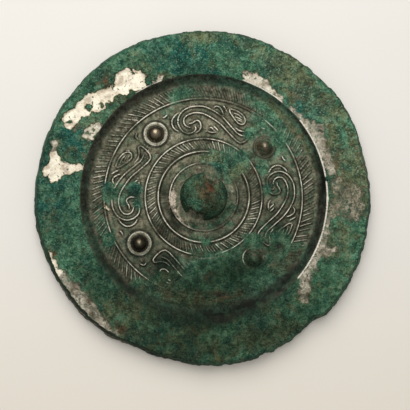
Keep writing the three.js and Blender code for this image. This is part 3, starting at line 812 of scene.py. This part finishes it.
mesh = bpy.data.meshes.new("mirror")
all_faces = faces.tolist() + quads.tolist() + [cap.tolist() for cap in caps]
mesh.from_pydata((vertices * 0.001).tolist(), [], all_faces)
mesh.update()
mesh.validate()
mesh.shade_smooth()
for name, values in attributes.items():
    mesh.attributes.new(name, "FLOAT", "POINT").data.foreach_set("value", values.astype(np.float32))
piece = bpy.data.objects.new("mirror_casting", mesh)
bpy.context.scene.collection.objects.link(piece)
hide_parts("mirror")
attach(piece, "root")

# ---- Materials ----


class Nodes:
    """Short words for building a material's nodes."""

    def __init__(self, name):
        self.material = bpy.data.materials.new(name)
        self.material.use_nodes = True
        self.tree = self.material.node_tree
        self.shader = self.tree.nodes["Principled BSDF"]
        in_mm = self.add("ShaderNodeVectorMath", operation="SCALE")
        self.put(in_mm.inputs[0], self.add("ShaderNodeTexCoord").outputs["Object"])
        in_mm.inputs["Scale"].default_value = 1000.0
        self.at = in_mm.outputs[0]

    def add(self, kind, **values):
        node = self.tree.nodes.new(kind)
        for key, value in values.items():
            setattr(node, key, value)
        return node

    def put(self, socket, value):
        if isinstance(value, bpy.types.NodeSocket):
            self.tree.links.new(value, socket)
        elif isinstance(value, tuple) and len(value) == 3 and socket.type == "RGBA":
            socket.default_value = (*value, 1)
        else:
            socket.default_value = value

    def attribute(self, name):
        return self.add("ShaderNodeAttribute", attribute_name=name).outputs["Fac"]

    def math(self, operation, a, b, clamp=False):
        node = self.add("ShaderNodeMath", operation=operation, use_clamp=clamp)
        self.put(node.inputs[0], a)
        self.put(node.inputs[1], b)
        return node.outputs[0]

    def plus(self, a, b):
        return self.math("ADD", a, b)

    def minus(self, a, b):
        return self.math("SUBTRACT", a, b)

    def times(self, a, b, clamp=False):
        return self.math("MULTIPLY", a, b, clamp)

    def larger(self, a, b):
        return self.math("MAXIMUM", a, b)

    def rest(self, a):
        """What is left of 1."""
        return self.minus(1.0, a)

    def spread(self, noise, size):
        """Noise moved to lie round zero, `size` wide."""
        return self.times(self.minus(noise, 0.5), size)

    def step(self, value, low, high, out_low=0.0, out_high=1.0):
        node = self.add("ShaderNodeMapRange", interpolation_type="SMOOTHSTEP")
        for socket, given in zip(node.inputs, (value, low, high, out_low, out_high)):
            self.put(socket, given)
        return node.outputs[0]

    def mix(self, factor, a, b, blend="MIX"):
        node = self.add("ShaderNodeMix", data_type="RGBA", blend_type=blend)
        self.put(node.inputs["Factor"], factor)
        self.put(node.inputs[6], a)
        self.put(node.inputs[7], b)
        return node.outputs[2]

    def tint(self, factor, colour, by):
        return self.mix(factor, colour, self.mix(1.0, colour, by, "MULTIPLY"))

    def patches(self, colour, *entries):
        """Patches of other colours: (noise, where it starts, where it is full, strength, colour)."""
        for noise, start, full, strength, other in entries:
            colour = self.mix(self.step(noise, start, full, 0.0, strength), colour, other)
        return colour

    def blend(self, factor, a, b):
        node = self.add("ShaderNodeMix", data_type="FLOAT")
        self.put(node.inputs["Factor"], factor)
        self.put(node.inputs[2], a)
        self.put(node.inputs[3], b)
        return node.outputs[0]

    def noise(self, size, detail, rough, distort=0.0, seed=0.0):
        """Noise from 0 to 1 with features of `size` millimetres."""
        node = self.add("ShaderNodeTexNoise", noise_dimensions="4D")
        self.put(node.inputs["Vector"], self.at)
        settings = {"W": seed, "Scale": 1 / size, "Detail": detail, "Roughness": rough, "Distortion": distort}
        for key, value in settings.items():
            node.inputs[key].default_value = value
        return node.outputs["Fac"]

    def ramp(self, value, *stops):
        node = self.add("ShaderNodeValToRGB")
        elements = node.color_ramp.elements
        while len(elements) < len(stops):
            elements.new(0.5)
        for element, (position, colour) in zip(elements, stops):
            element.position, element.color = position, (*colour, 1)
        self.put(node.inputs[0], value)
        return node.outputs[0]


def shared_layers(n):
    """The mesh's attributes, and the noises that more than one layer uses."""
    m = SimpleNamespace(**{name: n.attribute(name) for name in attributes})
    m.large = n.noise(8, 4, 0.6, 0.4, seed=1)
    m.middle = n.noise(2.4, 5, 0.65, 0.5, seed=2)
    m.small = n.noise(1.1, 4, 0.6, 0.3, seed=5)
    m.fine = n.noise(0.55, 3, 0.6, seed=3)
    m.grain = n.noise(0.3, 2, 0.6, seed=4)
    m.pits = n.noise(0.62, 2, 0.6, 0.2, seed=31)
    m.specks = n.noise(0.55, 2, 0.6, 0.2, seed=32)
    m.lively = n.rest(n.times(m.calm, 0.55))
    return m


def green_crust(n, m):
    """The crust, from teal through green to olive brown."""
    green = n.ramp(m.middle, (0.38, (0.022, 0.088, 0.05)), (0.47, (0.05, 0.164, 0.092)),
                   (0.54, (0.088, 0.232, 0.134)), (0.64, (0.18, 0.355, 0.22)))
    teals = n.ramp(m.middle, (0.38, (0.003, 0.06, 0.048)), (0.5, (0.014, 0.12, 0.088)),
                   (0.64, (0.05, 0.22, 0.16)))
    olives = n.ramp(m.middle, (0.38, (0.06, 0.078, 0.034)), (0.5, (0.125, 0.158, 0.076)),
                    (0.64, (0.235, 0.26, 0.135)))
    rust = n.ramp(m.small, (0.4, (0.085, 0.06, 0.028)), (0.6, (0.25, 0.185, 0.09)))
    teal = n.minus(n.plus(n.times(m.teal, 0.6), n.noise(7.0, 4, 0.6, 1.2, seed=23)), n.times(m.calm, 0.08))
    green = n.mix(n.step(teal, 0.52, 0.72), green, teals)
    olive = n.plus(n.times(m.olive, 0.42), n.noise(6.0, 5, 0.62, 1.2, seed=6))
    rusty = n.plus(n.times(m.olive, 0.12), n.noise(2.8, 5, 0.7, 0.8, seed=7))
    green = n.patches(
        green, (olive, 0.52, 0.74, 0.92, olives), (rusty, 0.575, 0.67, 0.5, rust),
        (n.noise(3.4, 5, 0.7, 1.4, seed=8), 0.54, 0.64, n.times(m.lively, 0.45), (0.22, 0.43, 0.28)),
        (m.large, 0.5, 0.38, 0.55, (0.014, 0.052, 0.038)),
        (m.small, 0.47, 0.36, n.times(m.lively, 0.5), (0.006, 0.03, 0.02)),
        (m.pits, 0.5, 0.36, 0.62, (0.005, 0.022, 0.015)),
    )
    blue = n.step(n.noise(5.0, 3, 0.55, 0.8, seed=35), 0.55, 0.63, 0.0, n.minus(0.35, n.times(m.calm, 0.25)))
    green = n.tint(blue, green, (0.62, 0.86, 0.98))
    green = n.patches(green, (m.specks, 0.54, 0.67, n.times(m.lively, 0.45), (0.3, 0.5, 0.35)))
    moss = n.step(n.plus(n.times(m.calm, 0.1), n.noise(3.2, 4, 0.6, 1.0, seed=45)), 0.54, 0.68, 0.0, 0.55)
    return n.tint(n.times(moss, m.calm), green, (1.04, 0.93, 0.76))


def dark_bronze(n, m):
    """The metal of the field, worn bright on its crests with a painted highlight, and nearly black with grime
    and painted shade beside them.
    """
    bronze = n.ramp(m.middle, (0.38, (0.056, 0.058, 0.034)), (0.47, (0.12, 0.122, 0.074)),
                    (0.54, (0.182, 0.18, 0.118)), (0.64, (0.285, 0.27, 0.19)))
    bronze = n.patches(
        bronze, (n.noise(2.8, 4, 0.65, 0.5, seed=9), 0.49, 0.6, 0.55, (0.056, 0.105, 0.06)),
        (n.noise(2.2, 4, 0.65, 0.5, seed=24), 0.55, 0.64, 0.4, (0.15, 0.105, 0.076)),
        (m.small, 0.48, 0.37, 0.6, (0.014, 0.016, 0.009)), (m.pits, 0.5, 0.36, 0.35, (0.012, 0.014, 0.008)),
        (m.specks, 0.54, 0.67, 0.25, (0.4, 0.38, 0.28)),
    )
    # grime and painted shade beside the lines
    bronze = n.mix(m.flank, bronze, n.mix(0.97, bronze, (0.003, 0.003, 0.002)))
    # worn bright metal with a painted highlight on the crests
    worn_and_lit = n.ramp(m.small, (0.38, (0.4, 0.37, 0.27)), (0.48, (0.76, 0.71, 0.57)), (0.57, (1.0, 0.96, 0.82)))
    bronze = n.mix(n.step(m.crest, 0.32, 0.92), bronze, worn_and_lit)
    polished = n.ramp(m.small, (0.4, (0.036, 0.03, 0.02)), (0.6, (0.085, 0.07, 0.046)))
    # polished metal on the nipples, with a painted highlight on their domes
    return n.mix(m.metal, bronze, n.mix(m.glow, polished, (0.34, 0.28, 0.2)))


def crusted_bronze(n, m):
    """The bronze under its stains and crust, with brown and pale places and a painted sheen. Sets m.thin and
    m.crusted.
    """
    green = green_crust(n, m)
    stained = n.plus(m.stain, n.spread(n.noise(1.7, 5, 0.7, 0.6, seed=10), 3.0))
    m.thin = n.times(n.step(stained, 0.25, 0.95), n.minus(0.82, n.times(m.crest, 0.55)))
    shaded_green = n.mix(n.times(m.flank, 0.6), green, (0.008, 0.02, 0.014))
    colour = n.mix(m.thin, dark_bronze(n, m), shaded_green)
    crusted = n.step(n.plus(m.crust, n.spread(m.small, 1.8)), -0.05, 0.75)
    m.crusted = n.times(crusted, n.rest(n.times(m.crest, n.rest(m.rim))))
    colour = n.mix(m.crusted, colour, green)
    red = n.times(m.red, n.step(n.noise(2.4, 4, 0.7, 0.8, seed=12), 0.42, 0.56, 0.0, 0.9))
    colour = n.mix(red, colour, n.ramp(m.small, (0.4, (0.055, 0.024, 0.012)), (0.6, (0.25, 0.12, 0.062))))
    # pale metal and a painted sheen, strongest on the seat's left edge
    pale_and_sheen = n.step(n.plus(m.pale, n.spread(m.small, 2.6)), 0.3, 0.95)
    return n.mix(pale_and_sheen, colour, n.ramp(m.fine, (0.38, (0.36, 0.29, 0.22)), (0.56, (0.66, 0.57, 0.46))))


def darkened(n, m, colour):
    """The recess's nearly black wall, black patina with painted shade, the darker places and the cracks."""
    patches = n.step(n.noise(1.8, 4, 0.65, 0.6, seed=42), 0.44, 0.6)
    black = n.mix(patches, (0.014, 0.016, 0.011), (0.05, 0.055, 0.042))
    mossy = n.mix(patches, (0.018, 0.032, 0.022), (0.054, 0.112, 0.074))
    stained = n.plus(m.stain, n.spread(n.noise(3.0, 4, 0.6, 0.6, seed=43), 2.4))
    # the wall's black patina and painted shade
    wall = n.times(m.wall, n.step(n.noise(1.4, 4, 0.65, 0.6, seed=44), 0.6, 0.42, 0.78, 0.97))
    colour = n.mix(wall, colour, n.mix(n.step(stained, 0.2, 0.9), black, mossy))
    deep = n.noise(4.5, 4, 0.65, 0.8, seed=27)
    shade = n.ramp(deep, (0.4, (0.08, 0.092, 0.072)), (0.6, (0.165, 0.18, 0.145)))
    line = n.times(n.step(m.crest, 0.1, 0.7), n.rest(m.rim))
    colour = n.tint(n.times(m.dark, n.minus(0.88, n.times(line, 0.6))), colour, shade)
    cracked = n.times(m.crack, n.step(n.noise(1.5, 4, 0.65, 0.8, seed=48), 0.38, 0.56, 0.3, 0.95))
    return n.mix(cracked, colour, (0.01, 0.009, 0.007))


def tinned_metal(n, m, inside):
    """The bare metal's colour, from a dull tan to a clean silver, by each patch's tarnish and painted
    reflection.
    """
    film = n.noise(3.0, 4, 0.62, 0.5, seed=18)
    tan = n.ramp(film, (0.38, (0.08, 0.088, 0.058)), (0.46, (0.155, 0.145, 0.1)),
                 (0.54, (0.245, 0.222, 0.16)), (0.63, (0.36, 0.33, 0.25)))
    dull = n.ramp(film, (0.38, (0.125, 0.1, 0.07)), (0.46, (0.225, 0.196, 0.148)),
                  (0.54, (0.33, 0.3, 0.236)), (0.63, (0.5, 0.465, 0.38)))
    clean = n.ramp(film, (0.38, (0.5, 0.43, 0.33)), (0.46, (0.72, 0.65, 0.52)),
                   (0.53, (0.83, 0.77, 0.63)), (0.62, (0.9, 0.86, 0.7)))
    tinned = n.mix(n.step(m.bright, 0.45, 0.95), n.mix(n.step(m.bright, 0.25, 0.4), tan, dull), clean)
    pitted = n.step(m.pits, 0.5, 0.36, 0.0, n.blend(m.bright, 0.75, 0.15))
    tinned = n.tint(pitted, tinned, (0.5, 0.45, 0.36))
    tinned = n.tint(n.step(inside, 0.6, 0.05, 0.0, 0.65), tinned, (0.58, 0.5, 0.38))
    near_lip = n.times(m.rubbed, n.step(n.noise(1.3, 4, 0.6, 0.4, seed=47), 0.4, 0.58, 0.35, 1.0))
    return n.mix(near_lip, tinned, (0.66, 0.6, 0.49))


def with_bare_metal(n, m, colour):
    """Bare metal on the rim and its lip, with brown borders and crust on it, and a painted highlight along
    the lip. Sets m.showing and m.lit.
    """
    wander = n.spread(n.noise(2.6, 2, 0.45, 0.4, seed=15), 4.4)
    ragged = n.spread(n.noise(1.0, 2, 0.5, 0.3, seed=16), 1.1)
    crumbs = n.spread(n.noise(0.7, 3, 0.6, 0.4, seed=46), n.minus(3.4, n.times(m.bright, 3.2)))
    inside = n.plus(n.plus(m.bare, crumbs), n.plus(wander, ragged))
    showing = n.step(inside, n.blend(m.bright, -0.7, -0.1), n.blend(m.bright, 1.0, 0.14))
    left = n.step(n.minus(n.noise(1.2, 3, 0.6, 0.5, seed=17), n.times(m.bright, 0.05)), 0.55, 0.61)
    showing = n.times(showing, n.rest(n.times(left, 0.8)))
    mottle = n.step(n.noise(0.9, 3, 0.65, 0.5, seed=41), 0.48, 0.58, 0.0, n.blend(m.bright, 0.95, -0.15))
    m.showing = n.times(showing, n.rest(mottle), True)
    border = n.times(n.step(inside, -0.7, -0.05), n.blend(m.bright, 0.25, 0.75))
    colour = n.tint(border, colour, (0.46, 0.36, 0.31))
    colour = n.mix(m.showing, colour, tinned_metal(n, m, inside))
    # the lip's bare edge, with a painted highlight along it
    m.lit = n.step(n.times(m.lip, n.step(m.fine, 0.3, 0.46, 0.6, 1.0)), 0.34, 0.75)
    return n.mix(m.lit, colour, (0.8, 0.75, 0.64))


def hidden_face(n):
    return n.ramp(n.noise(6, 5, 0.65, 0.5, seed=21), (0.36, (0.03, 0.075, 0.055)),
                  (0.5, (0.075, 0.11, 0.075)), (0.66, (0.22, 0.21, 0.16)))


def rough_surface(n, m):
    """The normal of the crust's fine lumps and pits, which bare metal hardly has."""
    rugged = n.larger(m.crusted, m.rim)
    high = n.spread(m.pits, n.blend(rugged, 0.14, 0.62))
    high = n.plus(high, n.spread(m.grain, n.blend(rugged, 0.04, 0.2)))
    high = n.plus(high, n.spread(m.small, n.blend(rugged, 0.1, 0.75)))
    high = n.times(high, n.rest(n.times(n.larger(m.showing, m.metal), 0.8)))
    shape = n.add("ShaderNodeBump")
    shape.inputs["Strength"].default_value = 1.0
    shape.inputs["Distance"].default_value = 0.001
    n.put(shape.inputs["Height"], n.minus(high, n.times(m.showing, 0.12)))
    return shape.outputs[0]


def patinated_bronze():
    n = Nodes("patinated_bronze")
    m = shared_layers(n)
    colour = with_bare_metal(n, m, darkened(n, m, crusted_bronze(n, m)))
    n.put(n.shader.inputs["Base Color"], n.mix(n.times(m.under, 0.85), colour, hidden_face(n)))
    coated = n.larger(m.crusted, m.thin)
    free = n.times(n.rest(coated), n.rest(m.rim))
    metallic = n.larger(n.times(n.larger(free, m.showing), 0.25), n.times(m.metal, 0.85))
    n.put(n.shader.inputs["Metallic"], metallic)
    rough = n.blend(n.larger(m.showing, m.lit), n.blend(coated, 0.55, 0.85), 0.5)
    n.put(n.shader.inputs["Roughness"], n.blend(m.metal, rough, 0.27))
    n.shader.inputs["Specular IOR Level"].default_value = 0.16
    n.put(n.shader.inputs["Normal"], rough_surface(n, m))
    return n.material


mesh.materials.append(patinated_bronze())


def pale_paper():
    """The floor's paper, with painted shade: a little darker and warmer towards the viewer."""
    n = Nodes("pale_paper")
    plain = n.ramp(n.noise(60, 3, 0.5), (0.3, (0.8, 0.775, 0.735)), (0.7, (0.82, 0.8, 0.765)))
    apart = n.add("ShaderNodeSeparateXYZ")
    n.put(apart.inputs[0], n.at)
    # painted shade: darker and warmer towards the viewer
    near = n.step(apart.outputs["Y"], 10.0, -75.0)
    n.put(n.shader.inputs["Base Color"], n.mix(near, plain, (0.8, 0.755, 0.675)))
    n.shader.inputs["Roughness"].default_value = 0.9
    n.shader.inputs["Specular IOR Level"].default_value = 0.2
    return n.material


# ---- Floor, camera and light, in metres ----

FLOOR_HALF = 1.5
floor_corners = [(x * FLOOR_HALF, y * FLOOR_HALF, 0) for x, y in ((-1, -1), (1, -1), (1, 1), (-1, 1))]
floor_mesh = bpy.data.meshes.new("floor")
floor_mesh.from_pydata(floor_corners, [], [(0, 1, 2, 3)])
floor_mesh.materials.append(pale_paper())
floor = bpy.data.objects.new("floor", floor_mesh)
bpy.context.scene.collection.objects.link(floor)

# The camera looks down from this distance, tilted a little towards this side, with +Y upwards in its view.
CAMERA_AIM, CAMERA_DISTANCE, CAMERA_TILT, CAMERA_SIDE = Vector((0.00035, -0.0026, 0.003)), 0.3, 5.0, 230.0
SENSOR_MM, FOCAL_PER_SENSOR = 36.0, 972 / 410


def add_camera():
    data = bpy.data.cameras.new("camera")
    data.sensor_fit = "HORIZONTAL"
    data.sensor_width, data.lens = SENSOR_MM, SENSOR_MM * FOCAL_PER_SENSOR
    data.clip_start, data.clip_end = 0.01, 20
    camera = bpy.data.objects.new("camera", data)
    bpy.context.scene.collection.objects.link(camera)
    tilt, side = math.radians(CAMERA_TILT), math.radians(CAMERA_SIDE)
    away = Vector((math.sin(tilt) * math.cos(side), math.sin(tilt) * math.sin(side), math.cos(tilt)))
    right = (-away).cross(Vector((0, 1, 0))).normalized()
    up = right.cross(-away)
    camera.location = CAMERA_AIM + away * CAMERA_DISTANCE
    camera.rotation_mode = "QUATERNION"
    camera.rotation_quaternion = Matrix((right, up, away)).transposed().to_quaternion()
    bpy.context.scene.camera = camera


def add_light(name, size, power, place, colour):
    """A round light that shines on the origin."""
    data = bpy.data.lights.new(name, "AREA")
    data.shape = "DISK"
    data.size, data.energy, data.color = size, power, colour
    light = bpy.data.objects.new(name, data)
    light.location = place
    light.rotation_euler = (-Vector(place)).to_track_quat("-Z", "Y").to_euler()
    bpy.context.scene.collection.objects.link(light)


add_camera()
add_light("key", 0.5, 2.2, (-0.07, 0.33, 0.4), (1.0, 0.98, 0.95))
add_light("overhead", 0.04, 0.3, (-0.03, 0.05, 0.6), (1.0, 0.99, 0.97))

world = bpy.data.worlds.new("studio")
world.use_nodes = True
world.node_tree.nodes["Background"].inputs["Color"].default_value = (1.0, 0.985, 0.96, 1)
world.node_tree.nodes["Background"].inputs["Strength"].default_value = 0.44
bpy.context.scene.world = world

view = bpy.context.scene.view_settings
view.view_transform = "Standard"
view.look = "None"
view.exposure, view.gamma = 0.0, 1.0
